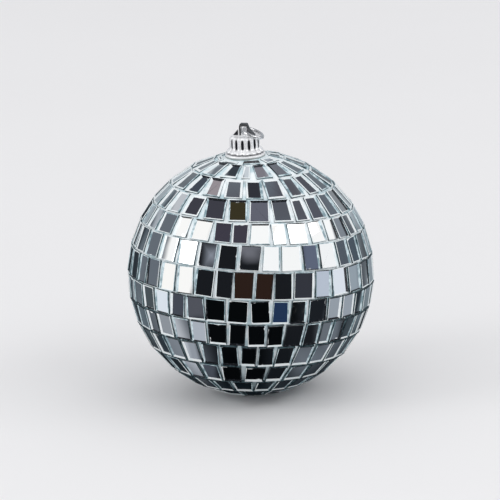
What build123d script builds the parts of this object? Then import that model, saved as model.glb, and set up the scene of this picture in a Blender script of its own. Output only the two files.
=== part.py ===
from build123d import *
import math
import os
import random

# Ornament mirror ball: a foam ball covered with hand-laid mirror tiles, and a fluted plastic cap
# with a slotted eye and a loose wire ring to hang it by.
#
# Millimetres and degrees. +Z is up and -Y is the front. The origin is the hanging point, the axis
# on which the ring swings in the cap's eye. Heights in this file are measured from the centre of
# the ball, and every piece is lowered onto the origin as it is written.

# --- Ball ---------------------------------------------------------------------------------------
BALL_DIAMETER = 80.0       # over the faces of the tiles
TILE_THICKNESS = 1.3
GLUE_THICKNESS = 0.6
LAYER_CLEARANCE = 0.06     # foam to glue, and glue to the back of a tile

# --- Tiles --------------------------------------------------------------------------------------
TILE_PITCH = 6.7           # along a row, centre to centre
TILE_MAX_WIDTH = 6.2
TILE_MAX_HEIGHT = 8.5      # a tile is cut shorter where two rows draw together
SIDE_GAP = 0.94            # between the backs of two tiles of a row, where they are nearest
ROW_GAP = 0.53             # between the backs of two rows, where they are nearest
TILE_CHAMFER = 0.12        # ground edge round the mirror face
TAPER_SHARE = 0.5          # how much of a row's narrowing towards the pole the tiles are cut to
POLE_TILE_WIDTH = 7.2

# The tiles are laid by hand, so each one sits a little crooked.
TURN_ERROR = 2.8           # in the plane of the tile
TILT_ERROR = 0.9           # out of that plane
SPACING_ERROR = 0.13       # of the pitch
LAYING_SEED = 11

# Edges between the rows from the cap down: latitude, and how far that edge leans off level. The
# rows start square to the cap and wander off level further down, always towards LEAN_HEADING.
LEAN_HEADING = 30.0        # from +X towards +Y
ROW_EDGES = [
    (74.3, 2.3),
    (62.2, 2.6),
    (48.7, 4.0),
    (35.9, 5.0),
    (25.1, 5.2),
    (12.7, 5.5),
    (-0.5, 5.3),
    (-12.2, 5.4),
    (-24.3, 5.6),
    (-36.7, 5.2),
    (-48.7, 3.8),
    (-60.2, 2.4),
    (-71.0, 1.2),
]
NECK_GAP = 0.3             # from the flange to the edge of the first row
POLE_GAP = 0.9             # from the corners of the pole tile to the edge of the last row

# Where the joints between tiles come on the front of each row, as longitudes from the front, +X
# positive. The rest of the row is spaced out evenly by TILE_PITCH.
FRONT_JOINTS = [
    [-15, 30, 75],
    [-61, -36.2, -11.2, 2, 25.9, 50, 75],
    [-57.5, -40.5, -22.7, -6, 9.3, 26.9, 42.3, 58],
    [-61, -47.5, -32.4, -16.1, -3.4, 10.5, 24.4, 35.3, 48.3, 61.5],
    [-60, -46.5, -36.3, -22, -11.5, -2.8, 9, 17.9, 30.4, 41.4, 49.8, 59],
    [-64, -51, -40, -28.6, -17.8, -7.4, 4.2, 13.3, 24.2, 33.8, 45.1, 54.7, 64],
    [-58, -48.2, -37.8, -28, -17.8, -9.3, 0.6, 9.7, 19.2, 30.1, 40, 50.7, 62.5],
    [-61, -51.3, -41.4, -32.3, -22, -11.9, -1, 9, 18, 26.9, 37.7, 47, 56.9, 66],
    [-60, -51, -40.9, -30.3, -21.8, -11.2, -2.2, 7.6, 16.4, 26.6, 35.7, 43.6, 52, 61],
    [-60.5, -49.5, -37.9, -27, -16.2, -5.7, 4, 13.7, 24.5, 35.6, 47.1, 58.5],
    [-58, -44.5, -31.3, -18.3, -4.1, 10.4, 22.8, 38.2, 52],
    [-46, -29.5, -14.9, 2.5, 17.8, 32.5, 48],
    [-10],
    [5],
]

# --- Neck, the moulded plug that carries the cap -------------------------------------------------
COLLAR_DIAMETER = 11.0
COLLAR_SINK = 1.0          # into the foam
FLANGE_LIP = 1.0           # over the collar, all round
FLANGE_THICKNESS = 1.3
FLANGE_ROUNDING = 0.35      # of its outer edges
FLANGE_DROP = 0.95         # underside of the flange below the height of the tile faces
BOSS_DIAMETER = 6.8
BOSS_HEIGHT = 4.0
STEM_DIAMETER = 4.6
STEM_LENGTH = 22.0
BARB_DIAMETER = 5.8
BARB_LENGTH = 2.6
BARB_PITCH = 4.8
BARB_COUNT = 4
NECK_CLEARANCE = 0.1       # round the collar and the barbs, and between boss and cap

# --- Cap ----------------------------------------------------------------------------------------
FLUTES = 14
FLUTE_PHASE = -99.3        # direction of one groove, anticlockwise from +X
# Cap sections from the hem up: height above the flange, radius in a groove, radius on a rib.
HEM_SECTIONS = [(0.0, 5.35, 5.95), (0.5, 5.4, 6.1), (1.3, 4.95, 5.5), (2.3, 4.5, 4.92)]
BARREL_TOP = (5.1, 4.45, 4.88)
RIM_TOP = (5.6, 4.15, 4.45)
CAP_SEAT_CLEARANCE = 0.05
HEM_RECESS_RADIUS = 4.7    # hollow under the hem
HEM_RECESS_DEPTH = 1.4

# --- Eye, the slotted lug on top of the cap -------------------------------------------------------
EYE_TURN = -16.0           # of the eye and its ring round the ball's axis, from facing front
LUG_THICKNESS = 1.7
LUG_FOOT_HALF_WIDTH = 3.9
LUG_SHOULDER_HALF_WIDTH = 1.75
LUG_SHOULDER_HEIGHT = 2.4  # above the cap's rim
LUG_TOP_HALF_WIDTH = 1.15
LUG_HEIGHT = 4.1           # above the cap's rim
LUG_CORNER_RADIUS = 0.4
LUG_EDGE_RADIUS = 0.18
SLOT_PLAY = 0.55           # wider than the ring's wire
SLOT_HEIGHT = 2.7
SLOT_FLOOR = 0.45          # above the cap's rim

# --- Ring ---------------------------------------------------------------------------------------
RING_OUTER_DIAMETER = 7.55
RING_WIRE_DIAMETER = 1.15
RING_SPLIT_ANGLE = 3.0     # the butted ends of the wire
RING_SPLIT_PLACE = 60.0    # of those ends, round the ring from the far side
RING_LIFT = 1.0            # the ring lies over the cap's rim, which lifts it off the slot's floor
RING_CLEARANCE = 0.07      # over that rim
DROOP_LIMIT = 60.0         # no ring lies further below level than this
DROOP_STEP = 0.05          # its droop is worked out to this

# --- Sizes that follow --------------------------------------------------------------------------
tile_radius = BALL_DIAMETER / 2
tile_back_radius = tile_radius - TILE_THICKNESS
glue_radius = tile_back_radius - LAYER_CLEARANCE
foam_radius = glue_radius - GLUE_THICKNESS - LAYER_CLEARANCE

flange_radius = COLLAR_DIAMETER / 2 + FLANGE_LIP
first_edge = math.degrees(math.acos((flange_radius + NECK_GAP) / tile_radius))
pole_corner = POLE_TILE_WIDTH / math.sqrt(2)
last_edge = -math.degrees(math.acos((pole_corner + POLE_GAP) / tile_radius))
row_edges = [(first_edge, 0.0), *ROW_EDGES, (last_edge, 0.0)]

collar_bottom = foam_radius - COLLAR_SINK
flange_bottom = tile_radius - FLANGE_DROP
flange_top = flange_bottom + FLANGE_THICKNESS
cap_bottom = flange_top + CAP_SEAT_CLEARANCE
cap_rim = cap_bottom + RIM_TOP[0]
ring_axis_height = cap_rim + SLOT_FLOOR + RING_LIFT + RING_WIRE_DIAMETER / 2
ring_radius = (RING_OUTER_DIAMETER - RING_WIRE_DIAMETER) / 2

onto_origin = Pos(0, 0, -ring_axis_height)
turn_eye = Rot(0, 0, EYE_TURN)
laying = random.Random(LAYING_SEED)


def write(shape, node):
    """Lowers a piece, or a group of pieces, onto the origin and writes its file."""
    export_step(onto_origin * shape, f"parts/{node}.step")


def standing_cylinder(diameter, bottom, top):
    """A cylinder on the ball's axis between two heights."""
    return Pos(0, 0, (bottom + top) / 2) * Cylinder(diameter / 2, top - bottom)


# --- Foam ball ----------------------------------------------------------------------------------
def make_foam_core():
    """Foam ball with a pocket for the collar and a socket for the barbed stem."""
    pocket = standing_cylinder(COLLAR_DIAMETER + 2 * NECK_CLEARANCE, collar_bottom, tile_radius)
    socket_bottom = collar_bottom - STEM_LENGTH - NECK_CLEARANCE
    socket = standing_cylinder(BARB_DIAMETER + 2 * NECK_CLEARANCE, socket_bottom, tile_radius)
    return Sphere(foam_radius) - pocket - socket


# --- Glue ---------------------------------------------------------------------------------------
def make_glue_coat():
    """White glue bed all over the foam, open round the collar."""
    hollow = Sphere(glue_radius - GLUE_THICKNESS)
    opening = standing_cylinder(COLLAR_DIAMETER + 2 * NECK_CLEARANCE, 0, tile_radius)
    return Sphere(glue_radius) - hollow - opening


# --- Mirror tiles -------------------------------------------------------------------------------
def make_tile(height, north_width, south_width):
    """One tile, its mirror face on the plane Z = 0 and its north end towards -X."""
    outline = Polyline(
        (-height / 2, -north_width / 2),
        (height / 2, -south_width / 2),
        (height / 2, south_width / 2),
        (-height / 2, north_width / 2),
        close=True,
    )
    block = extrude(make_face(outline), amount=-TILE_THICKNESS, dir=(0, 0, 1))
    face_edges = block.faces().sort_by(Axis.Z)[-1].edges()
    return chamfer(face_edges, TILE_CHAMFER)


def tile_widths(latitude, height, span):
    """North and south widths of a tile that fills a span of longitude with its side gaps."""
    half = math.degrees(height / 2 / tile_radius)
    arcs = [
        tile_back_radius * math.cos(math.radians(end)) * math.radians(span)
        for end in (latitude + half, latitude - half)
    ]
    narrow = min(arcs) - SIDE_GAP
    return [min(TILE_MAX_WIDTH, narrow + TAPER_SHARE * (arc - min(arcs))) for arc in arcs]


def corner_reach(latitude, width):
    """How far a tile's corners stand past the middle of its edge, because a row curves and a tile doesn't."""
    return (width / 2) ** 2 * math.tan(math.radians(abs(latitude))) / (2 * tile_radius)


def row_joints(front, latitude):
    """Longitudes of the joints once round a row, from the given ones on its front."""
    open_arc = 360 - (front[-1] - front[0])
    row_circle = 2 * math.pi * tile_radius * math.cos(math.radians(latitude))
    count = round(open_arc / 360 * row_circle / TILE_PITCH)
    step = open_arc / count
    joints = list(front)
    for number in range(1, count):
        error = laying.uniform(-SPACING_ERROR, SPACING_ERROR)
        joints.append(front[-1] + step * (number + error))
    joints.append(front[0] + 360)
    return joints


def make_tile_row(upper_edge, lower_edge, front):
    """All the tiles between two row edges."""
    upper_latitude, upper_lean = upper_edge
    lower_latitude, lower_lean = lower_edge
    row_lean = (upper_lean + lower_lean) / 2
    lean = Rot(0, 0, LEAN_HEADING) * Rot(0, row_lean, 0) * Rot(0, 0, -LEAN_HEADING)
    joints = row_joints(front, (upper_latitude + lower_latitude) / 2)
    tiles = []
    for start, end in zip(joints, joints[1:]):
        direction = (start + end) / 2 - 90
        swing = math.cos(math.radians(direction - LEAN_HEADING))
        upper = upper_latitude - (upper_lean - row_lean) * swing
        lower = lower_latitude - (lower_lean - row_lean) * swing
        latitude = (upper + lower) / 2
        room = math.radians(upper - lower) * tile_back_radius - ROW_GAP
        room -= corner_reach(latitude, min(TILE_MAX_WIDTH, TILE_PITCH - SIDE_GAP))
        height = min(TILE_MAX_HEIGHT, room)
        north_width, south_width = tile_widths(latitude, height, end - start)
        crooked = Rot(
            laying.uniform(-TILT_ERROR, TILT_ERROR),
            laying.uniform(-TILT_ERROR, TILT_ERROR),
            laying.uniform(-TURN_ERROR, TURN_ERROR),
        )
        seat = lean * Rot(0, 0, direction) * Rot(0, 90 - latitude, 0) * Pos(0, 0, tile_radius)
        tiles.append(seat * crooked * make_tile(height, north_width, south_width))
    return Compound(children=tiles)


def make_pole_tile():
    """The square tile that closes the bottom of the ball."""
    seat = Rot(0, 180, 0) * Pos(0, 0, tile_radius)
    return seat * make_tile(POLE_TILE_WIDTH, POLE_TILE_WIDTH, POLE_TILE_WIDTH)


# --- Neck ---------------------------------------------------------------------------------------
def make_neck():
    """Flange and collar on the ball, boss up into the cap, barbed stem down into the foam."""
    neck = standing_cylinder(2 * flange_radius, flange_bottom, flange_top)
    neck = fillet(neck.edges().filter_by(GeomType.CIRCLE), FLANGE_ROUNDING)
    neck += standing_cylinder(COLLAR_DIAMETER, collar_bottom, flange_bottom)
    neck += standing_cylinder(BOSS_DIAMETER, flange_top, flange_top + BOSS_HEIGHT)
    neck += standing_cylinder(STEM_DIAMETER, collar_bottom - STEM_LENGTH, collar_bottom)
    for number in range(BARB_COUNT):
        barb_top = collar_bottom - STEM_LENGTH + BARB_LENGTH + number * BARB_PITCH
        barb = Cone(STEM_DIAMETER / 2, BARB_DIAMETER / 2, BARB_LENGTH)
        neck += Pos(0, 0, barb_top - BARB_LENGTH / 2) * barb
    return neck


# --- Cap ----------------------------------------------------------------------------------------
def fluted_outline(height, groove_radius, rib_radius):
    """Closed outline of one rounded rib after another, at a height above the cap's bottom."""
    step = 360 / FLUTES

    def point(radius, angle):
        turn = math.radians(angle)
        return Vector(radius * math.cos(turn), radius * math.sin(turn), cap_bottom + height)

    ribs = []
    for number in range(FLUTES):
        groove = FLUTE_PHASE + number * step
        ribs.append(
            ThreePointArc(
                point(groove_radius, groove),
                point(rib_radius, groove + step / 2),
                point(groove_radius, groove + step),
            )
        )
    return Wire(ribs)


def make_lug():
    """Upright lug that straddles the top of the cap, with a slot for the ring."""
    shape = Polyline(
        (-LUG_FOOT_HALF_WIDTH, -CAP_SEAT_CLEARANCE),
        (-LUG_SHOULDER_HALF_WIDTH, LUG_SHOULDER_HEIGHT),
        (-LUG_TOP_HALF_WIDTH, LUG_HEIGHT),
        (LUG_TOP_HALF_WIDTH, LUG_HEIGHT),
        (LUG_SHOULDER_HALF_WIDTH, LUG_SHOULDER_HEIGHT),
        (LUG_FOOT_HALF_WIDTH, -CAP_SEAT_CLEARANCE),
        close=True,
    )
    outline = make_face(shape)
    top_corners = outline.vertices().sort_by(Axis.Y)[-2:]
    outline = fillet(top_corners, LUG_CORNER_RADIUS)
    slot = Rot(0, 0, 90) * SlotOverall(SLOT_HEIGHT, RING_WIRE_DIAMETER + SLOT_PLAY)
    outline -= Pos(0, SLOT_FLOOR + SLOT_HEIGHT / 2) * slot
    lug = extrude(outline, amount=LUG_THICKNESS / 2, both=True)
    sharp_edges = lug.faces().sort_by(Axis.Z)[0].edges() + lug.faces().sort_by(Axis.Z)[-1].edges()
    lug = fillet(sharp_edges, LUG_EDGE_RADIUS)
    return Pos(0, 0, cap_rim) * turn_eye * Rot(90, 0, 0) * lug


def make_cap():
    """Fluted cap with a flared hem, bored for the boss, and the lug moulded on top."""
    hem = Solid.make_loft([fluted_outline(*section) for section in HEM_SECTIONS])
    barrel_outlines = [fluted_outline(*s) for s in (HEM_SECTIONS[-1], BARREL_TOP, RIM_TOP)]
    barrel = Solid.make_loft(barrel_outlines, ruled=True)
    boss_top = flange_top + BOSS_HEIGHT
    bore = standing_cylinder(BOSS_DIAMETER + 2 * NECK_CLEARANCE, flange_top, boss_top + NECK_CLEARANCE)
    bore_radius = BOSS_DIAMETER / 2 + NECK_CLEARANCE
    recess = Cone(HEM_RECESS_RADIUS, bore_radius, HEM_RECESS_DEPTH)
    recess = Pos(0, 0, cap_bottom + HEM_RECESS_DEPTH / 2) * recess
    return hem + barrel + make_lug() - bore - recess


# --- Ring ---------------------------------------------------------------------------------------
def make_ring(droop):
    """Wire ring through the slot, tipped over to one side until it lies this far below level."""
    ring = Torus(ring_radius, RING_WIRE_DIAMETER / 2, major_angle=360 - RING_SPLIT_ANGLE)
    hung = Pos(ring_radius, 0, 0) * Rot(0, 0, RING_SPLIT_PLACE) * ring
    return Pos(0, 0, ring_axis_height) * turn_eye * Rot(0, droop, 0) * hung


def resting_droop(cap):
    """How far below level the ring lies once it rests on the cap."""
    clear, touching = 0.0, DROOP_LIMIT
    while touching - clear > DROOP_STEP:
        middle = (clear + touching) / 2
        if make_ring(middle).distance_to(cap) > RING_CLEARANCE:
            clear = middle
        else:
            touching = middle
    return clear


os.makedirs("parts", exist_ok=True)
write(make_foam_core(), "foam_core")
write(make_glue_coat(), "glue_coat")
row_bands = zip(row_edges, row_edges[1:], FRONT_JOINTS)
for row, (upper_edge, lower_edge, front) in enumerate(row_bands, start=1):
    write(make_tile_row(upper_edge, lower_edge, front), f"tile_row_{row:02d}")
write(make_pole_tile(), "pole_tile")
write(make_neck(), "neck_plug")
fluted_cap = make_cap()
write(fluted_cap, "fluted_cap")
write(make_ring(resting_droop(fluted_cap)), "hang_ring")
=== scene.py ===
import math
import random

import bpy
from mathutils import Matrix, Vector


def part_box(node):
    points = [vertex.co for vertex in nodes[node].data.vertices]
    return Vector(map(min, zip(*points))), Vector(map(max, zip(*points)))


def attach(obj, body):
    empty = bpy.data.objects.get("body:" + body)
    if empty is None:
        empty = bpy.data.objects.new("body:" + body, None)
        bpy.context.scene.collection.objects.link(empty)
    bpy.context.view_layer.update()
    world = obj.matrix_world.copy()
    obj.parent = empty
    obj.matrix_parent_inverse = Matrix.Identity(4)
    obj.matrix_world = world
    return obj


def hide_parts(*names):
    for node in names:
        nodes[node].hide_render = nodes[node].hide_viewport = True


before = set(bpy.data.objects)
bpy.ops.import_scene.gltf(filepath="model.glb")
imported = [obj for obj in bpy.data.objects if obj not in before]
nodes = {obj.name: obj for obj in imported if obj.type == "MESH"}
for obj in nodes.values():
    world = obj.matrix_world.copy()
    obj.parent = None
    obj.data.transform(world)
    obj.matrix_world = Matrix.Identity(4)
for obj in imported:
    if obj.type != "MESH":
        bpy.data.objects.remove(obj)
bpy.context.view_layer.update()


# --- Foam ball ------------------------------------------------------------------------------------
# A light ball of expanded foam that everything else is glued or pushed into. It is moulded from
# beads, which show as small soft cells in its white skin.

MM = 0.001


class Value:
    """One output of a node. Arithmetic on it adds Math nodes to the same tree."""

    def __init__(self, wiring, socket):
        self.wiring = wiring
        self.socket = socket

    def math(self, operation, *values):
        return self.wiring.add("ShaderNodeMath", {"operation": operation}, values)

    def __add__(self, other):
        return self.math("ADD", self, other)

    def __radd__(self, other):
        return self.math("ADD", other, self)

    def __sub__(self, other):
        return self.math("SUBTRACT", self, other)

    def __rsub__(self, other):
        return self.math("SUBTRACT", other, self)

    def __mul__(self, other):
        return self.math("MULTIPLY", self, other)

    def __rmul__(self, other):
        return self.math("MULTIPLY", other, self)

    def __abs__(self):
        return self.math("ABSOLUTE", self)

    def at_most(self, other):
        return self.math("MINIMUM", self, other)

    def at_least(self, other):
        return self.math("MAXIMUM", self, other)

    def cosine(self):
        return self.math("COSINE", self)

    def rising(self, low, high):
        """0 below low and 1 above high, with a soft turn between them."""
        settings = {"interpolation_type": "SMOOTHSTEP"}
        sockets = {"Value": self, "From Min": low, "From Max": high}
        return self.wiring.add("ShaderNodeMapRange", settings, sockets)


def as_colour(colour):
    """A colour socket takes a link as it is, and needs a fourth number with a plain colour."""
    return colour if isinstance(colour, Value) else (*colour, 1.0)


class Wiring:
    """The node tree of one material, or of the room's light."""

    def __init__(self, owner):
        owner.use_nodes = True
        self.owner = owner
        self.tree = owner.node_tree
        self.tree.nodes.clear()

    def add(self, kind, settings=(), sockets=(), output=0):
        """Adds a node, applies its settings, fills its sockets and returns one of its outputs."""
        node = self.tree.nodes.new(kind)
        for name, setting in dict(settings).items():
            setattr(node, name, setting)
        named = sockets.items() if isinstance(sockets, dict) else enumerate(sockets)
        for name, value in named:
            if isinstance(value, Value):
                self.tree.links.new(value.socket, node.inputs[name])
            else:
                node.inputs[name].default_value = value
        return Value(self, node.outputs[output]) if node.outputs else None

    def place(self):
        """The point on the piece, in metres from the hanging point."""
        return self.add("ShaderNodeTexCoord", output="Object")

    def noise(self, scale, detail=2.0, place=None, roughness=0.5):
        """Cloudy noise from 0 to 1, with this many clouds to the metre."""
        sockets = {"Vector": place or self.place(), "Scale": scale, "Detail": detail}
        return self.add("ShaderNodeTexNoise", {}, {**sockets, "Roughness": roughness})

    def stored(self, name):
        """A number that the mesh keeps for each of its faces."""
        settings = {"attribute_type": "GEOMETRY", "attribute_name": name}
        return self.add("ShaderNodeAttribute", settings, output="Fac")

    def mix(self, share, first, second):
        """The first colour where share is 0 and the second where it is 1."""
        sockets = {"Factor": share, 6: as_colour(first), 7: as_colour(second)}
        return self.add("ShaderNodeMix", {"data_type": "RGBA"}, sockets, output=2)

    def bump(self, height, distance):
        """Tilts the light on the surface as if a height of 1 stood this far out of it."""
        sockets = {"Strength": 1.0, "Distance": distance, "Height": height}
        return self.add("ShaderNodeBump", {}, sockets)

    def surface(self, base_color, **sockets):
        """Ends the material in one surface shader with these values."""
        named = {name.replace("_", " ").title(): value for name, value in sockets.items()}
        named["Base Color"] = as_colour(base_color)
        shader = self.add("ShaderNodeBsdfPrincipled", {}, named)
        self.add("ShaderNodeOutputMaterial", {}, (shader,))
        return self.owner


def new_wiring(name):
    return Wiring(bpy.data.materials.new(name))


def paint(piece, *materials):
    """Gives a piece these materials in place of its own."""
    piece.data.materials.clear()
    for material in materials:
        piece.data.materials.append(material)


FOAM_WHITE = (0.86, 0.86, 0.84)
FOAM_SEAM = (0.70, 0.70, 0.68)
FOAM_BEADS_PER_METRE = 420.0
FOAM_SEAM_WIDTH = 0.12

foam = new_wiring("foam_beads")
bead_edge = foam.add(
    "ShaderNodeTexVoronoi",
    {"feature": "DISTANCE_TO_EDGE"},
    {"Vector": foam.place(), "Scale": FOAM_BEADS_PER_METRE},
)
bead = bead_edge.rising(0.0, FOAM_SEAM_WIDTH)
foam_material = foam.surface(
    base_color=foam.mix(bead, FOAM_SEAM, FOAM_WHITE),
    roughness=0.75 - 0.1 * bead,
    normal=foam.bump(bead, 0.15 * MM),
)
paint(nodes["foam_core"], foam_material)


# --- Glue coat ------------------------------------------------------------------------------------
# A bed of white craft glue brushed all over the foam, open at the top round the neck. It sets pale and
# slightly blue, and towards the bottom it is painted greyer as painted shade. The tiles were pressed
# into it, so it stands up between them.

# The ball hangs from the origin, and its middle lies straight under it. The last tile closes the
# bottom, so its face is one ball radius under the middle.
BALL_RADIUS = 40.0 * MM
pole_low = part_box("pole_tile")[0]
ball_middle = Vector((0.0, 0.0, pole_low.z + BALL_RADIUS))

# Radii of the glue's outside and inside, how far its outside sits above the middle, and its swell.
GLUE_TOP = 39.45 * MM
GLUE_BOTTOM = 38.06 * MM
GLUE_RAISED = 0.34 * MM
GLUE_SWELL = 0.45 * MM
GLUE_SWELL_SIZE = 3.4 * MM
TILE_BED_CLEARANCE = 0.03 * MM
NECK_OPENING_RADIUS = 5.6 * MM
NECK_OPENING_DEPTH = 8.0 * MM
GLUE_COLOUR = (0.90, 0.96, 0.98)
GLUE_SHADE = (0.54, 0.70, 0.75)
# The glue is painted greyer towards the bottom, as painted shade, between these two heights.
GLUE_PAINTED_SHADE_LOW = (0.34, 0.44, 0.48)
GLUE_GREY_BELOW = ball_middle.z - 0.8 * BALL_RADIUS
GLUE_WHITE_ABOVE = ball_middle.z - 0.4 * BALL_RADIUS

tile_nodes = [f"tile_row_{number:02d}" for number in range(1, 15)] + ["pole_tile"]

# How much larger than its plain CAD tile each tile is cut, across and up, on each side of it, and how
# far its corners wander.
TILE_GROWTH = dict.fromkeys(tile_nodes, (0.20 * MM, 0.12 * MM))
TILE_GROWTH.update(tile_row_01=(0.1 * MM, 0.0), tile_row_14=(0.1 * MM, 0.0), pole_tile=(0.0, 0.0))
WANDER_ACROSS = 0.24 * MM
WANDER_UP = 0.06 * MM

# Some tiles lean more than their neighbours or were cut wider: heading in degrees, lean to the left and
# extra width in millimetres.
LEANING_HEADING_REACH = 4.0
LEANING = {
    "tile_row_03": ((-118.0, 0.6, 0.0), (-101.0, 0.35, 0.3), (-84.0, 0.3, 0.5)),
    "tile_row_04": ((-111.0, 0.5, 0.4), (-95.0, 0.1, 0.4)),
    "tile_row_05": ((-105.0, 0.25, 0.2), (-95.0, 0.0, 0.5)),
}


# Corners nearer than this are one corner, and triangles that meet as flat as this are one face.
SAME_CORNER = 0.001 * MM
FLAT_ENOUGH = math.radians(1.0)


def deselect():
    bpy.ops.object.select_all(action="DESELECT")


def only(piece):
    """Makes one piece the selected and active one."""
    deselect()
    piece.select_set(True)
    bpy.context.view_layer.objects.active = piece


def settle(piece):
    """Puts a piece's place into its mesh, so that its object is at the origin."""
    only(piece)
    bpy.ops.object.transform_apply(location=True, rotation=True, scale=True)


def join(*pieces):
    """Joins pieces into the first of them."""
    only(pieces[0])
    for piece in pieces:
        piece.select_set(True)
    bpy.ops.object.join()
    return pieces[0]


def apply_modifier(piece, kind, **settings):
    """Adds one modifier and applies it."""
    only(piece)
    modifier = piece.modifiers.new(kind.lower(), kind)
    for name, value in settings.items():
        setattr(modifier, name, value)
    bpy.ops.object.modifier_apply(modifier=modifier.name)


def copy_of_node(name, node):
    """A new piece with a CAD node's shape, its loose triangles merged into whole flat faces."""
    piece = bpy.data.objects.new(name, nodes[node].data.copy())
    bpy.context.scene.collection.objects.link(piece)
    only(piece)
    bpy.ops.object.mode_set(mode="EDIT")
    bpy.ops.mesh.select_all(action="SELECT")
    bpy.ops.mesh.customdata_custom_splitnormals_clear()
    bpy.ops.mesh.remove_doubles(threshold=SAME_CORNER)
    bpy.ops.mesh.dissolve_limited(angle_limit=FLAT_ENOUGH)
    bpy.ops.object.mode_set(mode="OBJECT")
    return piece


def ball_of(radius, subdivisions, raised=0.0):
    """A ball round the ball's middle, or this far above it."""
    middle = ball_middle + Vector((0.0, 0.0, raised))
    bpy.ops.mesh.primitive_ico_sphere_add(subdivisions=subdivisions, radius=radius, location=middle)
    ball = bpy.context.active_object
    settle(ball)
    return ball


def outward(point):
    """The way straight out of the ball at a point."""
    return (point - ball_middle).normalized()


def tiles_of(mesh):
    """The faces of each separate tile, in lists of face numbers."""
    faces_at = {}
    for face in mesh.polygons:
        for vertex in face.vertices:
            faces_at.setdefault(vertex, []).append(face.index)
    found = set()
    tiles = []
    for first in range(len(mesh.polygons)):
        if first in found:
            continue
        found.add(first)
        tile = [first]
        for number in tile:
            for vertex in mesh.polygons[number].vertices:
                for beside in faces_at[vertex]:
                    if beside not in found:
                        found.add(beside)
                        tile.append(beside)
        tiles.append(tile)
    return tiles


def pane_axes(facing):
    """Across and up along a tile whose face points this way. The bottom tile lies along the x axis."""
    across = Vector((0.0, 0.0, 1.0)).cross(facing)
    across = across.normalized() if across.length > 0.01 else Vector((1.0, 0.0, 0.0))
    return across, facing.cross(across)


def heading_of(point):
    """The compass angle of a point round the ball, in degrees from the x axis."""
    return math.degrees(math.atan2(point.y, point.x))


def lay_tiles(name, node):
    """A row of tiles as cut and laid by hand, each a little out of square in its own way."""
    row = copy_of_node(name, node)
    mesh = row.data
    cutting = random.Random(node)
    grow_across, grow_up = TILE_GROWTH[node]
    for tile in tiles_of(mesh):
        faces = [mesh.polygons[number] for number in tile]
        pane = max(faces, key=lambda face: face.area * face.normal.dot(outward(face.center)))
        middle = pane.center.copy()
        across, up = pane_axes(pane.normal)
        lean = wider = 0.0
        for heading, known_lean, known_width in LEANING.get(node, ()):
            if abs(heading_of(middle) - heading) < LEANING_HEADING_REACH:
                lean, wider = known_lean * MM, known_width * MM / 2.0
        slips = [
            (cutting.uniform(-1.0, 1.0) * WANDER_ACROSS, cutting.uniform(-1.0, 1.0) * WANDER_UP)
            for corner in range(4)
        ]
        for number in sorted({number for face in faces for number in face.vertices}):
            place = mesh.vertices[number].co - middle
            on_right, on_top = place.dot(across) > 0.0, place.dot(up) > 0.0
            sideways, upwards = slips[2 * on_right + on_top]
            sideways += (grow_across + wider) * (1.0 if on_right else -1.0)
            sideways += lean * (-1.0 if on_top else 1.0)
            upwards += grow_up * (1.0 if on_top else -1.0)
            mesh.vertices[number].co += sideways * across + upwards * up
    return row


deselect()
glue_bed = ball_of(GLUE_TOP, 6, GLUE_RAISED)
glue_bed.name = "glue_bed"
swelling = bpy.data.textures.new("glue_swelling", "CLOUDS")
swelling.noise_scale = GLUE_SWELL_SIZE
swelling.noise_depth = 2
swell_settings = {"texture_coords": "LOCAL", "strength": GLUE_SWELL, "mid_level": 0.5}
apply_modifier(glue_bed, "DISPLACE", texture=swelling, **swell_settings)
glue_hollow = ball_of(GLUE_BOTTOM, 5)
bpy.ops.object.mode_set(mode="EDIT")
bpy.ops.mesh.select_all(action="SELECT")
bpy.ops.mesh.flip_normals()
bpy.ops.object.mode_set(mode="OBJECT")
join(glue_bed, glue_hollow)

pressed = join(*[lay_tiles(f"pressed_{node}", node) for node in tile_nodes])
bpy.ops.object.mode_set(mode="EDIT")
bpy.ops.mesh.select_all(action="SELECT")
bpy.ops.transform.shrink_fatten(value=TILE_BED_CLEARANCE)
bpy.ops.object.mode_set(mode="OBJECT")
bpy.ops.mesh.primitive_cylinder_add(
    vertices=96,
    radius=NECK_OPENING_RADIUS,
    depth=NECK_OPENING_DEPTH,
    location=ball_middle + Vector((0.0, 0.0, GLUE_TOP)),
)
neck_opening = bpy.context.active_object
settle(neck_opening)
join(pressed, neck_opening)
cut_settings = {"operation": "DIFFERENCE", "solver": "EXACT", "use_self": True}
apply_modifier(glue_bed, "BOOLEAN", object=pressed, **cut_settings)
bpy.data.objects.remove(pressed)
only(glue_bed)
bpy.ops.object.shade_smooth_by_angle(angle=math.radians(35))

glue = new_wiring("glue_white")
glue_patches = glue.noise(170.0, 3.0)
glue_grain = glue.noise(1500.0, 3.0)
# The glue is painted darker and greyer towards the bottom: painted shade.
glue_up = glue.add("ShaderNodeSeparateXYZ", {}, (glue.place(),), output="Z")
glue_above_painted_shade = glue_up.rising(GLUE_GREY_BELOW, GLUE_WHITE_ABOVE)
glue_with_painted_shade = glue.mix(glue_above_painted_shade, GLUE_PAINTED_SHADE_LOW, GLUE_COLOUR)
glue_material = glue.surface(
    base_color=glue.mix(glue_patches.rising(0.42, 0.66), glue_with_painted_shade, GLUE_SHADE),
    roughness=0.38 + 0.2 * glue_grain,
    normal=glue.bump(glue_grain, 0.08 * MM),
)
paint(glue_bed, glue_material)
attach(glue_bed, "ball")
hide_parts("glue_coat")


# --- Mirror tiles ---------------------------------------------------------------------------------
# Small panes of silvered float glass, cut by hand and stuck on in fourteen rows. Each has a polished
# mirror face, an uneven edge of ground, glued or bare glass round it and dark green cut sides. A few
# corners are nipped. A strip on the side of each tile turned from the front, and which edges are pale
# or dark, are partly painted light and shade.

# What share of the corners is nipped, and by how much.
NIP_SHARE = 0.34
NIP_SIZES = (0.12 * MM, 0.25 * MM, 0.5 * MM)

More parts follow.
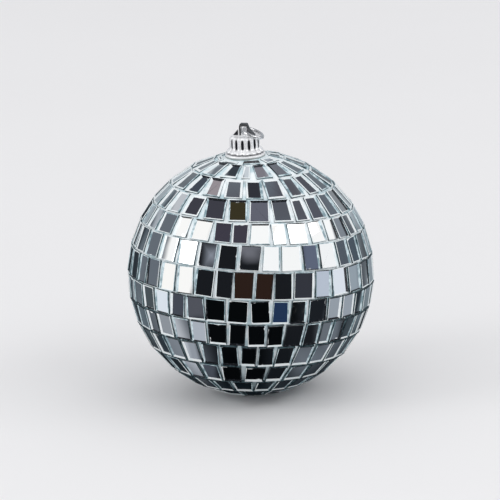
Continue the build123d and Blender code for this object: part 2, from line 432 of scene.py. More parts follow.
# A face this near the top of the ball's radius is the mirror or the ground edge round it, and no edge
# across that ground edge is longer. A corner is nipped along an edge that points outward and is long
# enough to reach the back.
CHAMFER_REACH = 0.3 * MM
SHORTEST_UPRIGHT = 0.5 * MM
OUTWARD_ENOUGH = 0.9

# A face narrower than this has no width.
WIDTHLESS = 0.0005 * MM

# The width of the edge round a mirror in millimetres, row by row from the cap down. Each side of each
# tile has a share of it, between the two numbers, and its ends slip by a share of it too.
EDGE_BANDS = (0.28, 0.34, 0.28, 0.18, 0.08, 0.05, 0.05, 0.05, 0.05, 0.06, 0.07, 0.08, 0.1, 0.1, 0.1)
EDGE_NARROWEST = -0.7
EDGE_WIDEST = 1.2
EDGE_SLIP = 0.3
SMALLEST_MIRROR = 2.0 * MM * MM
MIRROR_LEAN = 0.93
GROUND_LEAN = 0.3

# The strip that the silver leaves on the side of a tile that is turned away from the front is painted:
# it stands in for the glass's cut side as seen through the glass from the front, pale or dark as light
# would reach it. It grows with the turn, and its lower part is stretched on all tiles, and most on the
# lowest.
FRONT_HEIGHT = math.radians(15.0)
FRONT = Vector((0.0, -math.cos(FRONT_HEIGHT), math.sin(FRONT_HEIGHT)))
WIDEST_STRIP = 1.5 * MM
STRIP_GROWTH = 1.2
STRIP_WANDER = (0.7, 1.15)
NARROW_STRIP = 0.3 * MM
BOTTOM_STRIP = 1.1
LOWEST_STRIP = 2.0
STRIP_BANDS = 2.0

# Where a tile counts as high, low or lowest: the upward part of the way that its face points.
HIGH_UP = 0.35
LOW_DOWN = -0.12
LOWEST_DOWN = -0.86

# Shares of tiles whose silver is stained and whose glass is wavy, and how wavy the others are.
AGED_SHARE = 0.06
WARPED_SHARE = 0.35
SLIGHT_WARP = 0.15
LAYING_SEED = 5

SILVER = (0.93, 0.95, 0.96)
SILVER_WARM = (0.95, 0.94, 0.92)
SILVER_STAIN = (0.62, 0.64, 0.66)
GLASS_EDGE = (0.93, 0.97, 0.98)
GLASS_EDGE_SHADE = (0.80, 0.89, 0.91)
GLASS_SIDE = (0.11, 0.17, 0.19)
GLASS_SIDE_DEEP = (0.02, 0.04, 0.05)
BARE_GLASS = (0.010, 0.012, 0.015)
BARE_GLASS_PALE = (0.10, 0.11, 0.13)
GLUE_THROUGH_GLASS = (0.66, 0.78, 0.82)
GLUE_THROUGH_DEEP = (0.22, 0.32, 0.36)

# How strongly a warped pane bows as a whole, and how strongly it waves.
PANE_BOW = 0.06
PANE_WAVE = 0.17

MIRROR_FACE, GROUND_EDGE, CUT_SIDE, BARE_EDGE, GLUED_EDGE = range(5)

# How often an edge is ground white, glued or bare on each side of a tile: high up, round the middle,
# low down, and where it is the painted strip that the silver leaves. Low down, the mostly bare top
# edges are painted shade under the row above and the mostly ground bottom edges painted light; the
# strip is mostly bare and dark at the top of high tiles, painted shade, and mostly ground and pale at
# the bottom of the lowest, painted light.
FINISHES = (GROUND_EDGE, GLUED_EDGE, BARE_EDGE)
HIGH_SHARES = {"top": (8, 2, 0), "bottom": (8, 2, 0), "left": (6, 4, 0), "right": (6, 4, 0)}
MIDDLE_SHARES = {"top": (4, 4, 2), "bottom": (6, 3, 1), "left": (4, 5, 1), "right": (4, 5, 1)}
LOW_SHARES = {"top": (0, 2, 8), "bottom": (6, 0, 4), "left": (3, 5, 2), "right": (3, 5, 2)}
HIGH_STRIP_SHARES = {"top": (3, 1, 6), "bottom": (8, 2, 0), "left": (6, 3, 1), "right": (6, 3, 1)}
STRIP_SHARES = {"top": (3, 4, 3), "bottom": (7, 0, 3), "left": (3, 5, 2), "right": (3, 5, 2)}
LOWEST_STRIP_SHARES = {**STRIP_SHARES, "bottom": (8, 1, 1)}

laying = random.Random(LAYING_SEED)


def kind_of_face(face):
    """Which part of its tile a face is: the mirror, the ground edge round it, or a cut side."""
    lean = face.normal.dot(outward(face.center))
    near_top = (face.center - ball_middle).length > BALL_RADIUS - CHAMFER_REACH
    if lean > MIRROR_LEAN and near_top:
        return MIRROR_FACE
    return GROUND_EDGE if lean > GROUND_LEAN and near_top else CUT_SIDE


def clear_selection(mesh):
    """Leaves nothing of a mesh selected, so that edit mode starts afresh."""
    for part in (mesh.vertices, mesh.edges, mesh.polygons):
        for item in part:
            item.select = False


def nip_corners(row, size, share):
    """Cuts a share of the tiles' corners off by this much, from the mirror down to the back."""
    mesh = row.data
    clear_selection(mesh)
    nipped = set()
    for edge in mesh.edges:
        first, second = (mesh.vertices[number].co for number in edge.vertices)
        upright = abs((second - first).normalized().dot(outward(first))) > OUTWARD_ENOUGH
        if upright and (second - first).length > SHORTEST_UPRIGHT and laying.random() < share:
            edge.select = True
            nipped.update(edge.vertices)
    for edge in mesh.edges:
        first, second = (mesh.vertices[number].co for number in edge.vertices)
        across_chamfer = (second - first).length < CHAMFER_REACH
        if across_chamfer and (edge.vertices[0] in nipped) != (edge.vertices[1] in nipped):
            edge.select = True
    only(row)
    bpy.ops.object.mode_set(mode="EDIT")
    bpy.ops.mesh.select_mode(type="EDGE")
    bpy.ops.mesh.bevel(offset=size, segments=1, affect="EDGES", clamp_overlap=True)
    bpy.ops.object.mode_set(mode="OBJECT")


def strip_widths(normal):
    """How far the silver stops short of a tile's right and top edges; negative is left and bottom.

    The strip on the side that is turned from the front is painted: it stands in for the back edge of
    the glass as seen through the glass from the front.
    """
    across, up = pane_axes(normal)
    facing = normal.dot(FRONT)
    away = facing * normal - FRONT
    width = WIDEST_STRIP * away.length**STRIP_GROWTH if facing > 0.0 else NARROW_STRIP * abs(facing)
    away = away.normalized() * width * laying.uniform(*STRIP_WANDER)
    return away.dot(across), away.dot(up)


def grind_edges(row, band):
    """Leaves an uneven edge round each mirror, and a painted strip where the silver stops short.

    Returns, for the number of each mirror's face, which of its sides have the strip.
    """
    mesh = row.data
    only(row)
    bpy.ops.object.mode_set(mode="EDIT")
    bpy.ops.mesh.select_mode(type="FACE")
    bpy.ops.object.mode_set(mode="OBJECT")
    clear_selection(mesh)
    for face in mesh.polygons:
        face.select = kind_of_face(face) == MIRROR_FACE and face.area > SMALLEST_MIRROR
    bpy.ops.object.mode_set(mode="EDIT")
    bpy.ops.mesh.inset(thickness=band, use_individual=True)
    bpy.ops.object.mode_set(mode="OBJECT")
    mirrors = {}
    for face in mesh.polygons:
        if not face.select:
            continue
        middle = face.center.copy()
        across, up = pane_axes(face.normal)
        left, right, top, bottom = (
            band * laying.uniform(EDGE_NARROWEST, EDGE_WIDEST) for side in range(4)
        )
        beside, above = strip_widths(face.normal)
        left, right = left + max(-beside, 0.0), right + max(beside, 0.0)
        stretch = LOWEST_STRIP if face.normal.z < LOWEST_DOWN else BOTTOM_STRIP
        bottom, top = bottom + stretch * max(-above, 0.0), top + max(above, 0.0)
        for number in face.vertices:
            place = mesh.vertices[number].co - middle
            sideways = -right if place.dot(across) > 0.0 else left
            upwards = -top if place.dot(up) > 0.0 else bottom
            slip = band * laying.uniform(-EDGE_SLIP, EDGE_SLIP)
            flat = -place.dot(face.normal) * face.normal
            mesh.vertices[number].co += (sideways + slip) * across + upwards * up + flat
        wide = STRIP_BANDS * band
        mirrors[face.index] = {
            "top": above > wide, "bottom": -above > wide, "right": beside > wide, "left": -beside > wide
        }
    return mirrors


def lay_mirror_row(name, node, band):
    """Turns a row of plain cut tiles into finished ones, each where its plain tile lies."""
    row = lay_tiles(name, node)
    for size in NIP_SIZES:
        nip_corners(row, size, NIP_SHARE / len(NIP_SIZES))
    mirrors = grind_edges(row, band)
    bpy.ops.object.shade_flat()
    mesh = row.data
    paint(row, mirror_material, ground_material, side_material, bare_material, glued_material)
    for kept in ("tint", "aged", "warped"):
        mesh.attributes.new(kept, "FLOAT", "FACE")
    mesh.uv_layers.new(name="pane")
    for tile in tiles_of(mesh):
        shade = laying.random()
        age = 1.0 if laying.random() < AGED_SHARE else 0.0
        warp = 1.0 if laying.random() < WARPED_SHARE else SLIGHT_WARP
        first = next(number for number in tile if number in mirrors)
        strips = mirrors[first]
        pane = mesh.polygons[first]
        if pane.normal.z > HIGH_UP:
            shares, strip_shares = HIGH_SHARES, HIGH_STRIP_SHARES
        else:
            shares = LOW_SHARES if pane.normal.z < LOW_DOWN else MIDDLE_SHARES
            strip_shares = LOWEST_STRIP_SHARES if pane.normal.z < LOWEST_DOWN else STRIP_SHARES
        # Strips and the edges of low tiles take their pale or dark finish partly as painted light and
        # shade.
        finish = {}
        for side in strips:
            weights = strip_shares[side] if strips[side] else shares[side]
            finish[side] = laying.choices(FINISHES, weights)[0]
        middle = pane.center.copy()
        across, up = pane_axes(pane.normal)
        spread = [mesh.vertices[number].co - middle for number in pane.vertices]
        half_width = max(abs(place.dot(across)) for place in spread)
        half_height = max(abs(place.dot(up)) for place in spread)
        for number in tile:
            face = mesh.polygons[number]
            kind = kind_of_face(face)
            if kind in (MIRROR_FACE, GROUND_EDGE) and number not in mirrors:
                place = face.center - middle
                beside, above = place.dot(across) / half_width, place.dot(up) / half_height
                if abs(above) > abs(beside):
                    side = "top" if above > 0.0 else "bottom"
                else:
                    side = "right" if beside > 0.0 else "left"
                kind = finish[side]
            face.material_index = kind
            for kept, value in (("tint", shade), ("aged", age), ("warped", warp)):
                mesh.attributes[kept].data[number].value = value
            for loop in face.loop_indices:
                place = mesh.vertices[mesh.loops[loop].vertex_index].co - middle
                on_pane = (place.dot(across) / half_width, place.dot(up) / half_height)
                mesh.uv_layers["pane"].data[loop].uv = on_pane
    # A nip that had no room leaves faces without width, which are merged away.
    only(row)
    bpy.ops.object.mode_set(mode="EDIT")
    bpy.ops.mesh.select_all(action="SELECT")
    bpy.ops.mesh.remove_doubles(threshold=WIDTHLESS)
    bpy.ops.object.mode_set(mode="OBJECT")
    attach(row, "ball")
    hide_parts(node)


silver = new_wiring("silvered_glass")
on_pane = silver.add("ShaderNodeUVMap", {"uv_map": "pane"})
pane_across = silver.add("ShaderNodeSeparateXYZ", {}, (on_pane,), output="X")
pane_up = silver.add("ShaderNodeSeparateXYZ", {}, (on_pane,), output="Y")
bow = pane_across * pane_across + pane_up * pane_up
edge = abs(pane_across).at_least(abs(pane_up))
streaks = silver.noise(900.0, 3.0, roughness=0.6)
stains = streaks.rising(0.50, 0.75) * silver.stored("aged")
smear = (edge + 0.9 * silver.noise(330.0, 2.0)).rising(1.48, 1.60)
wave = silver.noise(90.0, 1.0) * silver.stored("warped")
silver_colour = silver.mix(silver.stored("tint"), SILVER, SILVER_WARM)
silver_colour = silver.mix(stains * 0.5, silver_colour, SILVER_STAIN)
mirror_material = silver.surface(
    base_color=silver.mix(smear, silver_colour, GLUE_COLOUR),
    metallic=(1.0 - 0.04 * stains) * (1.0 - smear),
    roughness=0.015 + 0.10 * stains + 0.3 * smear,
    normal=silver.bump(PANE_WAVE * wave - PANE_BOW * bow, 1.0 * MM),
)

ground = new_wiring("ground_glass")
ground_grain = ground.noise(2600.0, 2.0)
ground_patches = ground.noise(420.0, 2.0).rising(0.42, 0.7)
ground_material = ground.surface(
    base_color=ground.mix(ground_patches, GLASS_EDGE, GLASS_EDGE_SHADE),
    metallic=0.15,
    roughness=0.25 + 0.25 * ground_grain,
    normal=ground.bump(ground_grain, 0.05 * MM),
)

cut = new_wiring("cut_glass")
cut_ripple = cut.noise(900.0, 3.0)
side_material = cut.surface(
    base_color=cut.mix(cut_ripple.rising(0.38, 0.66), GLASS_SIDE, GLASS_SIDE_DEEP),
    roughness=0.10 + 0.12 * cut_ripple,
    normal=cut.bump(cut_ripple, 0.12 * MM),
)

bare = new_wiring("bare_glass")
bare_streaks = bare.noise(1300.0, 3.0)
bare_material = bare.surface(
    base_color=bare.mix(bare_streaks.rising(0.5, 0.8), BARE_GLASS, BARE_GLASS_PALE),
    roughness=0.12 + 0.15 * bare_streaks,
    normal=bare.bump(bare_streaks, 0.05 * MM),
)

glued = new_wiring("glue_through_glass")
glued_clouds = glued.noise(520.0, 2.0)
glued_material = glued.surface(
    base_color=glued.mix(glued_clouds.rising(0.36, 0.64), GLUE_THROUGH_GLASS, GLUE_THROUGH_DEEP),
    roughness=0.12 + 0.15 * glued_clouds,
    normal=glued.bump(glued_clouds, 0.05 * MM),
)

# The square tile that closes the bottom is finished as the rows are.
for node, band in zip(tile_nodes, EDGE_BANDS):
    lay_mirror_row(node.replace("tile", "mirror"), node, band * MM)


# --- Neck -----------------------------------------------------------------------------------------
# A moulded plastic plug with a round flange that rests on the ball. It is plated with the cap and has a
# few dull patches, and from just under the flange's top down it is painted dark, as painted shade under
# the flange.

PLATING = (0.97, 0.97, 0.98)
PLATING_IN_PAINTED_SHADE = (0.16, 0.20, 0.19)
FLANGE_SHADE_TOP = 0.45 * MM
FLANGE_SHADE_BOTTOM = 0.75 * MM
flange_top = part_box("fluted_cap")[0].z

neck = new_wiring("plated_neck")
neck_grain = neck.noise(1200.0, 3.0)
neck_patches = neck.noise(330.0, 3.0).rising(0.5, 0.75)
neck_up = neck.add("ShaderNodeSeparateXYZ", {}, (neck.place(),), output="Z")
# From just under the flange's top down the neck is painted dark: painted shade under the flange.
neck_under_flange_shade = 1.0 - neck_up.rising(flange_top - FLANGE_SHADE_BOTTOM, flange_top - FLANGE_SHADE_TOP)
neck_dullness_and_shade = (neck_patches * 0.12).at_least(0.75 * neck_under_flange_shade)
neck_material = neck.surface(
    base_color=neck.mix(neck_dullness_and_shade, PLATING, PLATING_IN_PAINTED_SHADE),
    metallic=0.2,
    roughness=0.22 + 0.2 * neck_grain,
    normal=neck.bump(neck_grain, 0.04 * MM),
)
paint(nodes["neck_plug"], neck_material)


# --- Cap ------------------------------------------------------------------------------------------
# The fluted cap is moulded in plastic and vacuum plated bright silver, then pushed onto the neck.
# The grooves, the lip and parts of the eye are painted dark, as painted shade and painted dark
# reflections, and the ribs have a soft orange-peel gloss.

# The dark colour painted into the grooves, the lip and the eye as shade and dark reflections.
CAP_PAINTED_SHADE = (0.05, 0.05, 0.06)

FLUTES = 14
GROOVE_HEADING = math.radians(-99.3)
cap_low, cap_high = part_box("fluted_cap")
BARREL_BOTTOM = cap_low.z + 1.6 * MM
BARREL_TOP = cap_low.z + 5.1 * MM
barrel_middle = 0.5 * (BARREL_BOTTOM + BARREL_TOP)
half_barrel = 0.5 * (BARREL_TOP - BARREL_BOTTOM)
LIP = (cap_low.z + 0.35 * MM, cap_low.z + 0.6 * MM)

# The eye, and where its painted shade begins and ends: how high, and how far along its width.
EYE_TURN = math.radians(-16.0)
EYE_FOOT = (cap_low.z + 5.7 * MM, cap_low.z + 6.0 * MM)
EYE_CROWN = (cap_high.z - 1.2 * MM, cap_high.z - 0.7 * MM)
LEFT_CHEEK_END = (-1.95 * MM, -1.75 * MM)
EYE_FACE_SHADE_START = (-1.5 * MM, -1.35 * MM)
EYE_FACE_SHADE_END = (-0.95 * MM, -0.8 * MM)
RIGHT_CHEEK_START = (0.9 * MM, 1.2 * MM)

cap = new_wiring("plated_cap")
cap_place = cap.place()
cap_across = cap.add("ShaderNodeSeparateXYZ", {}, (cap_place,), output="X")
cap_along = cap.add("ShaderNodeSeparateXYZ", {}, (cap_place,), output="Y")
cap_up = cap.add("ShaderNodeSeparateXYZ", {}, (cap_place,), output="Z")
heading = cap.add("ShaderNodeMath", {"operation": "ARCTAN2"}, (cap_along, cap_across))
# The grooves are painted dark, widest at the middle of the barrel: painted shade and painted dark
# reflections.
across_groove = (FLUTES * (heading - GROOVE_HEADING)).cosine()
off_middle = abs(cap_up - barrel_middle) * (1.0 / half_barrel)
barrel = 1.0 - off_middle.rising(0.75, 1.0)
groove = (across_groove - 0.5 * off_middle * off_middle).rising(-0.1, 0.45)
groove = groove * (0.35 + 0.65 * barrel)
# The lip's lower part is painted dark: painted shade at the hem.
lip = 1.0 - cap_up.rising(*LIP)
# The eye's cheeks, a line down its face and its crown are painted dark: painted shade and painted dark
# reflections.
along_eye = cap_across * math.cos(EYE_TURN) + cap_along * math.sin(EYE_TURN)
left_cheek = 1.0 - along_eye.rising(*LEFT_CHEEK_END)
eye_face_shade = along_eye.rising(*EYE_FACE_SHADE_START) * (1.0 - along_eye.rising(*EYE_FACE_SHADE_END))
right_cheek = along_eye.rising(*RIGHT_CHEEK_START)
crown = cap_up.rising(*EYE_CROWN)
eye_painted_shade_parts = left_cheek.at_least(eye_face_shade).at_least(0.9 * right_cheek).at_least(0.85 * crown)
eye_painted_shade = cap_up.rising(*EYE_FOOT) * eye_painted_shade_parts
dark = groove.at_least(eye_painted_shade).at_least(0.7 * lip)
cap_grain = cap.noise(1100.0, 3.0)
cap_material = cap.surface(
    base_color=cap.mix(dark, PLATING, CAP_PAINTED_SHADE),
    metallic=0.25 + 0.6 * dark,
    roughness=0.2 + 0.15 * cap_grain + 0.1 * dark,
    normal=cap.bump(cap_grain, 0.05 * MM),
)
paint(nodes["fluted_cap"], cap_material)


# --- Ring -----------------------------------------------------------------------------------------
# A loose ring of bright nickel wire, bent round and closed through the slot of the cap's eye. The
# wire carries faint drawing marks.

NICKEL = (0.95, 0.95, 0.96)
NICKEL_RUBBED = (0.66, 0.65, 0.66)

wire = new_wiring("nickel_wire")
wire_marks = wire.noise(2400.0, 2.0)
wire_material = wire.surface(
    base_color=wire.mix(wire_marks.rising(0.5, 0.8), NICKEL, NICKEL_RUBBED),
    metallic=0.8,
    roughness=0.16 + 0.2 * wire_marks,
    normal=wire.bump(wire_marks, 0.03 * MM),
)
paint(nodes["hang_ring"], wire_material)


# --- Camera ---------------------------------------------------------------------------------------
# A long lens, a little above the ball, turned so that the ball leans to the left.

PICTURE_TILT = math.radians(2.7)
CAMERA_DISTANCE = 40.0 * BALL_RADIUS
PICTURE_WIDTH = 163.15 * MM
AIM_ACROSS = -0.26 * MM
AIM_UP = 7.3 * MM
SENSOR_WIDTH = 36.0
FARTHEST_SEEN = 100.0

level_right = Vector((1.0, 0.0, 0.0))
level_up = Vector((0.0, math.sin(FRONT_HEIGHT), math.cos(FRONT_HEIGHT)))
picture_right = math.cos(PICTURE_TILT) * level_right - math.sin(PICTURE_TILT) * level_up
picture_up = math.sin(PICTURE_TILT) * level_right + math.cos(PICTURE_TILT) * level_up

scene = bpy.context.scene
camera_data = bpy.data.cameras.new("camera")
camera = bpy.data.objects.new("camera", camera_data)
scene.collection.objects.link(camera)
scene.camera = camera
camera_data.sensor_width = SENSOR_WIDTH
camera_data.lens = SENSOR_WIDTH * CAMERA_DISTANCE / PICTURE_WIDTH
camera_data.clip_end = FARTHEST_SEEN
aim = ball_middle + AIM_ACROSS * picture_right + AIM_UP * picture_up
turn = Matrix((picture_right, picture_up, FRONT)).transposed()
camera.matrix_world = Matrix.Translation(aim + CAMERA_DISTANCE * FRONT) @ turn.to_4x4()


# --- Room -----------------------------------------------------------------------------------------
# The ball is a mirror, so half of its look is the room that it shows. The room is dark, with windows
# and soft cards of light hung round it. A card's place is where the ball shows it to someone in
# front: across and up from the ball's middle, in shares of its radius.

# Across, up, half width, half height, lean, softness and colour as a screen shows it. A later card
# hangs over the earlier ones. The wide ones are walls, windows and the dark end of the room. Most small
# ones hang where one or two mirrors show them, only to give those mirrors their tone, and what they
# would be in a real room isn't known.
CARDS = [
    (0.00, 0.00, 2.00, 2.00, 0.00, 0.01, (102, 109, 118)),   # far walls
    (0.00, 1.00, 2.00, 0.22, 0.00, 0.06, (160, 166, 174)),   # ceiling
    (0.00, 0.56, 0.60, 0.10, 0.00, 0.05, (86, 89, 98)),      # shade over the windows
    (-0.20, 0.53, 0.33, 0.09, 0.00, 0.03, (66, 66, 74)),
    (-0.09, 0.49, 0.06, 0.06, 0.00, 0.02, (60, 56, 42)),
    (0.02, -0.12, 0.52, 0.52, 0.00, 0.05, (32, 34, 38)),     # the dark room in front
    (0.00, -0.30, 0.60, 0.10, 0.00, 0.03, (34, 37, 42)),
    (0.00, -0.72, 0.36, 0.20, 0.00, 0.06, (28, 31, 35)),
    (-0.04, -0.42, 0.34, 0.19, 0.00, 0.04, (16, 18, 20)),
    (0.20, -0.33, 0.20, 0.08, 0.00, 0.03, (14, 16, 18)),
    (-0.05, -0.83, 0.18, 0.20, 0.00, 0.05, (14, 16, 18)),
    (-0.59, -0.54, 0.06, 0.36, -0.51, 0.03, (182, 188, 198)),  # pale floor on the left
    (-0.68, -0.42, 0.05, 0.06, 0.00, 0.02, (142, 149, 158)),
    (-0.48, -0.64, 0.03, 0.06, 0.00, 0.02, (146, 152, 162)),
    (-0.37, -0.79, 0.05, 0.05, 0.00, 0.02, (74, 79, 88)),
    (-0.42, -0.46, 0.07, 0.08, 0.00, 0.03, (172, 178, 188)),
    (-0.61, -0.60, 0.05, 0.06, 0.00, 0.03, (122, 130, 140)),
    (-0.555, 0.17, 0.135, 0.29, 0.32, 0.02, (254, 254, 254)),  # window on the left
    (0.34, 0.31, 0.34, 0.10, 0.00, 0.02, (254, 254, 254)),   # window on the right
    (0.26, 0.12, 0.17, 0.10, 0.00, 0.02, (250, 252, 254)),
    (0.64, 0.10, 0.06, 0.12, 0.10, 0.02, (246, 248, 251)),
    (0.50, 0.13, 0.06, 0.08, 0.00, 0.02, (96, 104, 124)),
    (0.68, -0.08, 0.11, 0.08, 0.00, 0.03, (222, 228, 238)),
    (0.74, -0.28, 0.12, 0.10, 0.00, 0.04, (150, 158, 168)),
    (0.25, -0.32, 0.06, 0.07, 0.00, 0.02, (40, 56, 84)),     # something blue
    (0.02, -0.10, 0.14, 0.07, 0.00, 0.02, (48, 37, 33)),     # something brown
    (-0.02, 0.115, 0.012, 0.006, 0.00, 0.02, (130, 132, 142)),
    (-0.36, 0.125, 0.012, 0.010, 0.00, 0.025, (150, 156, 168)),
    (-0.66, -0.70, 0.06, 0.24, -1.00, 0.03, (72, 80, 84)),    # dark strip behind on the left
    (-0.87, 0.22, 0.03, 0.12, 0.00, 0.02, (78, 88, 96)),
    (0.79, -0.45, 0.07, 0.09, 0.00, 0.03, (46, 54, 60)),
    (-0.71, -0.22, 0.05, 0.06, 0.00, 0.02, (222, 230, 240)),   # small things round the dark end
    (-0.82, -0.21, 0.04, 0.07, 0.00, 0.02, (76, 84, 90)),
    (-0.60, -0.25, 0.05, 0.05, 0.00, 0.02, (72, 76, 86)),
    (-0.45, -0.28, 0.05, 0.05, 0.00, 0.02, (84, 86, 94)),
    (-0.87, -0.36, 0.03, 0.08, 0.00, 0.02, (56, 64, 70)),
    (0.83, -0.03, 0.04, 0.08, 0.00, 0.02, (148, 159, 169)),
    (0.90, 0.21, 0.03, 0.06, 0.00, 0.02, (160, 170, 180)),
    (0.72, 0.36, 0.04, 0.06, 0.00, 0.02, (128, 136, 146)),
    (0.42, -0.10, 0.06, 0.06, 0.00, 0.02, (56, 58, 66)),
    (0.59, -0.07, 0.05, 0.06, 0.00, 0.02, (184, 194, 210)),
    (-0.15, 0.30, 0.12, 0.05, 0.00, 0.02, (66, 64, 75)),
    (0.07, 0.49, 0.07, 0.06, 0.00, 0.02, (100, 102, 114)),
    (-0.28, 0.69, 0.06, 0.05, 0.00, 0.02, (152, 145, 151)),
    (0.75, 0.15, 0.05, 0.06, 0.00, 0.02, (84, 92, 102)),
    (0.84, 0.19, 0.04, 0.06, 0.00, 0.02, (78, 88, 98)),
    (-0.87, 0.26, 0.04, 0.06, 0.00, 0.02, (66, 76, 86)),
    (-0.68, 0.62, 0.07, 0.05, 0.00, 0.02, (88, 98, 108)),
    (-0.30, 0.84, 0.06, 0.04, 0.00, 0.02, (112, 120, 130)),
    (0.07, 0.82, 0.06, 0.04, 0.00, 0.02, (126, 124, 132)),
    (0.32, 0.86, 0.05, 0.03, 0.00, 0.02, (122, 130, 140)),
    (-0.72, -0.57, 0.04, 0.06, 0.00, 0.02, (66, 76, 84)),
    (0.88, -0.22, 0.03, 0.08, 0.00, 0.02, (56, 64, 72)),
    (0.79, 0.52, 0.05, 0.16, -0.70, 0.03, (190, 196, 204)),   # pale strip behind on the right
    (0.97, -0.10, 0.04, 0.35, 0.00, 0.03, (162, 170, 178)),
    (-0.76, 0.45, 0.025, 0.05, 0.00, 0.02, (172, 178, 186)),
    (-0.84, 0.48, 0.04, 0.05, 0.00, 0.02, (84, 94, 102)),
    (-0.66, 0.60, 0.03, 0.05, 0.00, 0.02, (66, 76, 86)),
    (-0.59, 0.58, 0.04, 0.05, 0.00, 0.02, (190, 195, 203)),   # light things overhead
    (-0.02, 0.82, 0.05, 0.05, 0.00, 0.02, (200, 208, 216)),
    (-0.23, 0.93, 0.05, 0.05, 0.00, 0.03, (212, 218, 226)),
    (-0.37, 0.86, 0.04, 0.04, 0.00, 0.02, (198, 206, 214)),
    (0.16, 0.92, 0.04, 0.04, 0.00, 0.02, (188, 194, 206)),
    (0.02, 0.66, 0.06, 0.05, 0.00, 0.02, (54, 56, 63)),       # dark things overhead
    (-0.14, 0.82, 0.05, 0.05, 0.00, 0.02, (60, 66, 74)),
    (-0.40, 0.72, 0.05, 0.06, 0.00, 0.02, (70, 76, 86)),
    (0.28, 0.68, 0.08, 0.04, 0.10, 0.02, (88, 90, 98)),
    (0.43, 0.72, 0.04, 0.05, 0.00, 0.02, (84, 86, 94)),
    (0.21, 0.84, 0.04, 0.04, 0.00, 0.02, (112, 114, 122)),
]

DAYLIGHT = (1.02, 1.03, 1.05)
DAYLIGHT_BEHIND = (0.38, 0.39, 0.41)
DAYLIGHT_ABOVE = (0.86, 0.87, 0.89)
BACKDROP = (0.88, 0.87, 0.87)

# Behind the ball: dark things, and light ones low down and high up.
FAR_DARK = (24, 31, 36)
FAR_LIGHT_LOW = (102, 114, 122)
FAR_LIGHT_HIGH = (168, 179, 187)
FAR_SHARE = 0.85

world = bpy.data.worlds.new("room")
scene.world = world
room = Wiring(world)


def screen_colour(red, green, blue):
    """A colour as a screen shows it, from 0 to 255, as the linear colour that a shader takes."""
    return tuple((part / 255.0) ** 2.2 for part in (red, green, blue))


def along(vector, direction):
    """How far a vector goes this way."""
    sockets = (vector, tuple(direction))
    return room.add("ShaderNodeVectorMath", {"operation": "DOT_PRODUCT"}, sockets, output="Value")


def on_card(across, up, half_width, half_height, lean, softness):
    """1 on a card and 0 off it, with a soft edge."""
    above = shown_up - up
    beside = shown_across - across - lean * above
    inside = (half_width - abs(beside)).at_most(half_height - abs(above))
    return inside.rising(-softness, softness)


seen = room.add("ShaderNodeTexCoord", output="Generated")
halfway = room.add("ShaderNodeVectorMath", {"operation": "ADD"}, (seen, tuple(FRONT)))
halfway = room.add("ShaderNodeVectorMath", {"operation": "NORMALIZE"}, (halfway,))
shown_across = along(halfway, picture_right)
shown_up = along(halfway, picture_up)
light = (0.0, 0.0, 0.0)
for *place, colour in CARDS:
    light = room.mix(on_card(*place), light, screen_colour(*colour))

# Behind the ball the far wall is broken up into light and dark things.
patches = room.noise(3.2, 1.0, place=seen).rising(0.44, 0.60)
patches = (patches * shown_up.rising(-0.80, -0.30)).at_least(0.35 * shown_up.rising(0.45, 0.75))
far_light = room.mix(
    shown_up.rising(-0.4, 0.6), screen_colour(*FAR_LIGHT_LOW), screen_colour(*FAR_LIGHT_HIGH)
)
far_side = room.mix(patches, screen_colour(*FAR_DARK), far_light)
near = along(halfway, FRONT).rising(0.30, 0.52)
light = room.mix(FAR_SHARE * (1.0 - near), light, far_side)

# The pale backdrop straight behind the ball is there for the eye, for metal and for glass alike.
behind = along(seen, -FRONT).rising(0.985, 0.992)
light = room.mix(behind, light, BACKDROP)
camera_ray = room.add("ShaderNodeLightPath", output="Is Camera Ray")
glossy_ray = room.add("ShaderNodeLightPath", output="Is Glossy Ray")
transmission_ray = room.add("ShaderNodeLightPath", output="Is Transmission Ray")
shown = (camera_ray + glossy_ray + transmission_ray).at_most(1.0)
light = room.mix(camera_ray, light, BACKDROP)
from_front = along(seen, FRONT).rising(-0.7, 0.9)
from_above = along(seen, (0.0, 0.0, 1.0)).rising(0.1, 0.9)
daylight = room.mix(from_front, DAYLIGHT_BEHIND, DAYLIGHT)
light = room.mix(shown, room.mix(from_above, daylight, DAYLIGHT_ABOVE), light)
background = room.add("ShaderNodeBackground", {}, (light, 1.0))
room.add("ShaderNodeOutputWorld", {}, (background,))


def shown_direction(across, up):
    """The way from the ball to what it shows at this place to someone in front."""
    towards = math.sqrt(1.0 - across**2 - up**2)
    halfway = across * picture_right + up * picture_up + towards * FRONT
    return 2.0 * towards * halfway - FRONT


def hang_lamp(name, direction, width, height, power, in_mirrors):
    """A soft lamp that faces the ball's middle."""
    data = bpy.data.lights.new(name, "AREA")
    data.shape = "RECTANGLE"
    data.size = width
    data.size_y = height
    data.energy = power
    lamp = bpy.data.objects.new(name, data)
    scene.collection.objects.link(lamp)
    lamp.location = ball_middle + LAMP_DISTANCE * direction
    lamp.rotation_euler = direction.to_track_quat("Z", "Y").to_euler()
    lamp.visible_glossy = in_mirrors
    lamp.visible_camera = False


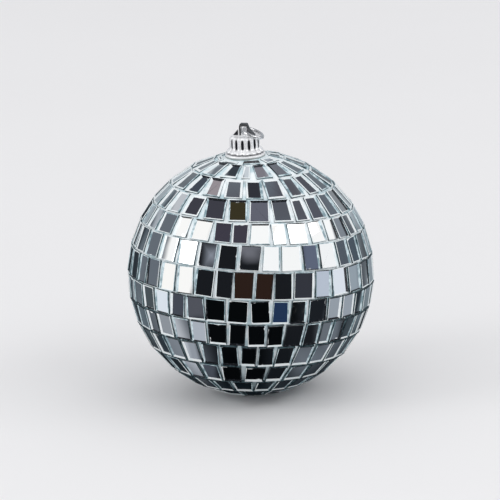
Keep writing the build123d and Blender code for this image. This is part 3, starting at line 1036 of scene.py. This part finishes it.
# Two lamps stand in the windows, and one over the ball lights it without being seen in it. Their
# sizes are in metres, and a window's place is across and up, as a card's is.
LAMP_DISTANCE = 1.5
LEFT_WINDOW = (-0.54, 0.19)
RIGHT_WINDOW = (0.34, 0.31)
LEFT_WINDOW_SIZE = (0.60, 0.75)
RIGHT_WINDOW_SIZE = (1.40, 0.40)
WINDOW_POWER = 3.8
OVERHEAD = Vector((0.1, 0.25, 1.0)).normalized()
OVERHEAD_SIZE = (1.2, 1.2)
OVERHEAD_POWER = 1.5

left = shown_direction(*LEFT_WINDOW)
right = shown_direction(*RIGHT_WINDOW)
hang_lamp("window_left", left, *LEFT_WINDOW_SIZE, WINDOW_POWER, in_mirrors=True)
hang_lamp("window_right", right, *RIGHT_WINDOW_SIZE, WINDOW_POWER, in_mirrors=True)
hang_lamp("overhead", OVERHEAD, *OVERHEAD_SIZE, OVERHEAD_POWER, in_mirrors=False)


# --- Floor ----------------------------------------------------------------------------------------
# A plain pale floor just under the ball, which is there for the shadow and isn't part of the object.
# Far from the lamps it glows a little, so that it meets the backdrop without a dark band.

FLOOR_SIZE = 6.0
FLOOR_GAP = 0.05 * MM
FLOOR_PALE = (0.86, 0.85, 0.85)
FLOOR_SHADE = (0.83, 0.82, 0.82)
FLOOR_GLOW = (0.21, 0.20, 0.20)
FLOOR_NEAR = 1.15
FLOOR_FAR = 1.75

deselect()
bpy.ops.mesh.primitive_plane_add(size=FLOOR_SIZE, location=(0.0, 0.0, pole_low.z - FLOOR_GAP))
floor = bpy.context.active_object
floor.name = "floor"
floor_paint = new_wiring("floor_pale")
floor_clouds = floor_paint.noise(6.0, 3.0)
floor_reach = floor_paint.add(
    "ShaderNodeVectorMath", {"operation": "LENGTH"}, (floor_paint.place(),), output="Value"
)
floor_far = floor_reach.rising(FLOOR_NEAR, FLOOR_FAR)
floor_material = floor_paint.surface(
    base_color=floor_paint.mix(floor_clouds, FLOOR_PALE, FLOOR_SHADE),
    roughness=0.85,
    emission_color=floor_paint.mix(floor_far, (0.0, 0.0, 0.0), FLOOR_GLOW),
    emission_strength=1.0,
)
paint(floor, floor_material)
floor.visible_glossy = False

scene.view_settings.view_transform = "Standard"
